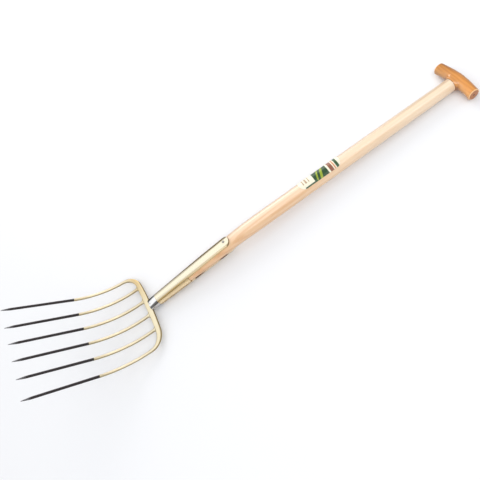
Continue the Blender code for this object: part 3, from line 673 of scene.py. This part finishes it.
varnished, tree, shader, place = new_material("orange_varnished_wood")
sideways = add(tree, "ShaderNodeMapping", Vector=place, Rotation=(0, 0, math.pi / 2))
figure = use(
    tree,
    grain,
    Place=sideways.outputs[0],
    Pale=varnish_pale,
    Dark=varnish_dark,
    Rings=150.0,
    Fibres=700.0,
)
# The grip's steep sides take a darker varnish colour, painted shade
varnish_with_side_shade = use(
    tree,
    side_shade_group,
    Runs=noise(tree, place, 60.0, 3.0),
    Thin=figure["Color"],
    Thick=varnish_side_shade,
    Shallow=0.38,
    Steep=0.98,
)
spot = axes(tree, place)
out = maths(tree, "ABSOLUTE", spot["X"])
# The sawn ends show year rings round the mark of the lathe's centre
from_y = squared(tree, maths(tree, "SUBTRACT", spot["Y"], axis_y - droop))
from_z = squared(tree, maths(tree, "SUBTRACT", spot["Z"], axis_z))
from_axis = maths(tree, "SQRT", maths(tree, "ADD", from_y, from_z))
year = maths(tree, "SINE", times(tree, from_axis, year_rings))
end_grain = blend_colours(tree, scaled(tree, year, 0.5, 0.5), end_grain_pale, end_grain_dark)
centre_mark = soft_step(tree, from_axis, *centre_edge)
end_grain = blend_colours(tree, centre_mark, end_grain, centre_hole)
# The far side is darker, painted shade, over a wider band on the left half; the near side is lighter and
# paler
arch = times(tree, maths(tree, "POWER", maths(tree, "DIVIDE", out, half_length), 3.0), droop)
far_side = maths(tree, "ADD", maths(tree, "SUBTRACT", spot["Y"], axis_y), arch)
left_half = soft_step(tree, spot["X"], *left_half_from)
down_far = scaled(tree, left_half, far_shade_wider_on_left, far_side)
far_shade = times(tree, soft_step(tree, down_far, *far_shade_from), far_shade_cover)
colour = blend_colours(tree, far_shade, varnish_with_side_shade["Color"], far_side_shade)
near_side = times(tree, soft_step(tree, far_side, *near_side_from), near_side_cover)
near_side = times(tree, near_side, soft_step(tree, out, *past_collar))
colour = blend_colours(tree, near_side, colour, varnish_near_side)
darker = times(tree, left_half, left_half_cover)
colour = blend_colours(tree, darker, colour, left_half_tint, "MULTIPLY")
# A lighter rim round each end is a painted highlight on its chamfer
rim_lit = soft_step(tree, out, rim_starts, rim_is_full)
colour = blend_colours(tree, times(tree, rim_lit, rim_highlight_cover), colour, rim_highlight)
sawn = soft_step(tree, out, saw_starts, saw_is_full)
# Varnish also pooled in the hollow between the bar and the collar round the shaft
hollow = times(tree, soft_step(tree, spot["Y"], *collar_side), soft_step(tree, out, *collar_width))
rough = scaled(tree, figure["Streaks"], 0.15, 0.28)
set_inputs(
    tree,
    shader,
    Base_Color=blend_colours(tree, sawn, colour, end_grain),
    Roughness=scaled(tree, sawn, 0.2, rough),
    Specular_IOR_Level=0.25,
    Coat_Weight=scaled(tree, hollow, 0.60, 0.25),
    Coat_IOR=1.7,
    Coat_Roughness=0.10,
)
add_bump(tree, shader, figure["Height"], 0.25, 0.0002)
finish_solid("grip", varnished)
finish_solid("grip_pin", polished)


# Floor, light and camera: a matt pale floor in a cool, dim room. A large softbox hangs
# overhead, a low warm one on the left throws the shadow, and a third one on the right puts
# the long highlight on the shaft.

floor_reach = 6.0
floor_gap = 0.0005
floor_mesh = bpy.data.meshes.new("floor")
work = bmesh.new()
bmesh.ops.create_grid(work, x_segments=1, y_segments=1, size=floor_reach)
work.to_mesh(floor_mesh)
work.free()
floor = bpy.data.objects.new("floor", floor_mesh)
floor.location.z = -floor_gap
bpy.context.scene.collection.objects.link(floor)
floor_paint, tree, shader, place = new_material("pale_floor")
set_inputs(
    tree,
    shader,
    Base_Color=(0.745, 0.749, 0.760, 1),
    Emission_Color=(0.97, 0.98, 1.0, 1),
    Emission_Strength=0.06,
    Roughness=0.9,
    Specular_IOR_Level=0.1,
)
floor_mesh.materials.append(floor_paint)

room_dim = (0.535, 0.543, 0.567, 1)
room_bright = (1.032, 1.045, 1.068, 1)
bright_side = Vector((-0.15, -0.55, 0.80))
glow_edge = (0.25, 0.85)
room = bpy.data.worlds.new("dim_room")
bpy.context.scene.world = room
room.use_nodes = True
tree = room.node_tree
looking = tree.nodes.new("ShaderNodeTexCoord").outputs["Generated"]
glow = soft_step(tree, along(tree, looking, bright_side), *glow_edge)
walls = blend_colours(tree, glow, room_dim, room_bright)
tree.links.new(walls, tree.nodes["Background"].inputs["Color"])


def softbox(name, place, aim, width, length, power, colour=(1.0, 1.0, 1.0)):
    """A rectangular area light at a place, facing another."""
    light = bpy.data.lights.new(name, "AREA")
    light.shape = "RECTANGLE"
    light.size = width
    light.size_y = length
    light.energy = power
    light.color = colour
    made = bpy.data.objects.new(name, light)
    made.location = place
    made.rotation_euler = (Vector(aim) - Vector(place)).to_track_quat("-Z", "Y").to_euler()
    bpy.context.scene.collection.objects.link(made)


softbox(
    "overhead_softbox", place=(-0.62, -0.33, 2.07), aim=(0.0, 0.0, 0.0), width=2.8, length=3.4, power=11
)
softbox(
    "side_softbox",
    place=(-2.00, 0.42, 1.02),
    aim=(0.0, 0.25, 0.0),
    width=1.5,
    length=1.25,
    power=21,
    colour=(1.0, 0.965, 0.91),
)
softbox(
    "fill_softbox", place=(1.20, 0.72, 1.80), aim=(0.0, 0.15, 0.0), width=2.2, length=0.85, power=15.5
)

# The camera stands in the fork's own frame; its focal length is in pixels of the photo's width
photo_width = 480
focal_length = 470
sensor = 36.0
farthest_seen = 50
camera_place = (0.6133, 0.3654, 0.9198)
right = Vector((0.4528, 0.8129, -0.3662))
up = Vector((-0.7051, 0.5779, 0.4110))
back = Vector((0.5457, 0.0721, 0.8349))
camera_data = bpy.data.cameras.new("camera")
camera_data.sensor_width = sensor
camera_data.lens = sensor * focal_length / photo_width
camera_data.clip_end = farthest_seen
camera = bpy.data.objects.new("camera", camera_data)
facing = Matrix((right, up, back)).transposed().to_4x4()
camera.matrix_world = lying @ Matrix.Translation(camera_place) @ facing
bpy.context.scene.collection.objects.link(camera)
bpy.context.scene.camera = camera
bpy.context.scene.view_settings.view_transform = "Standard"
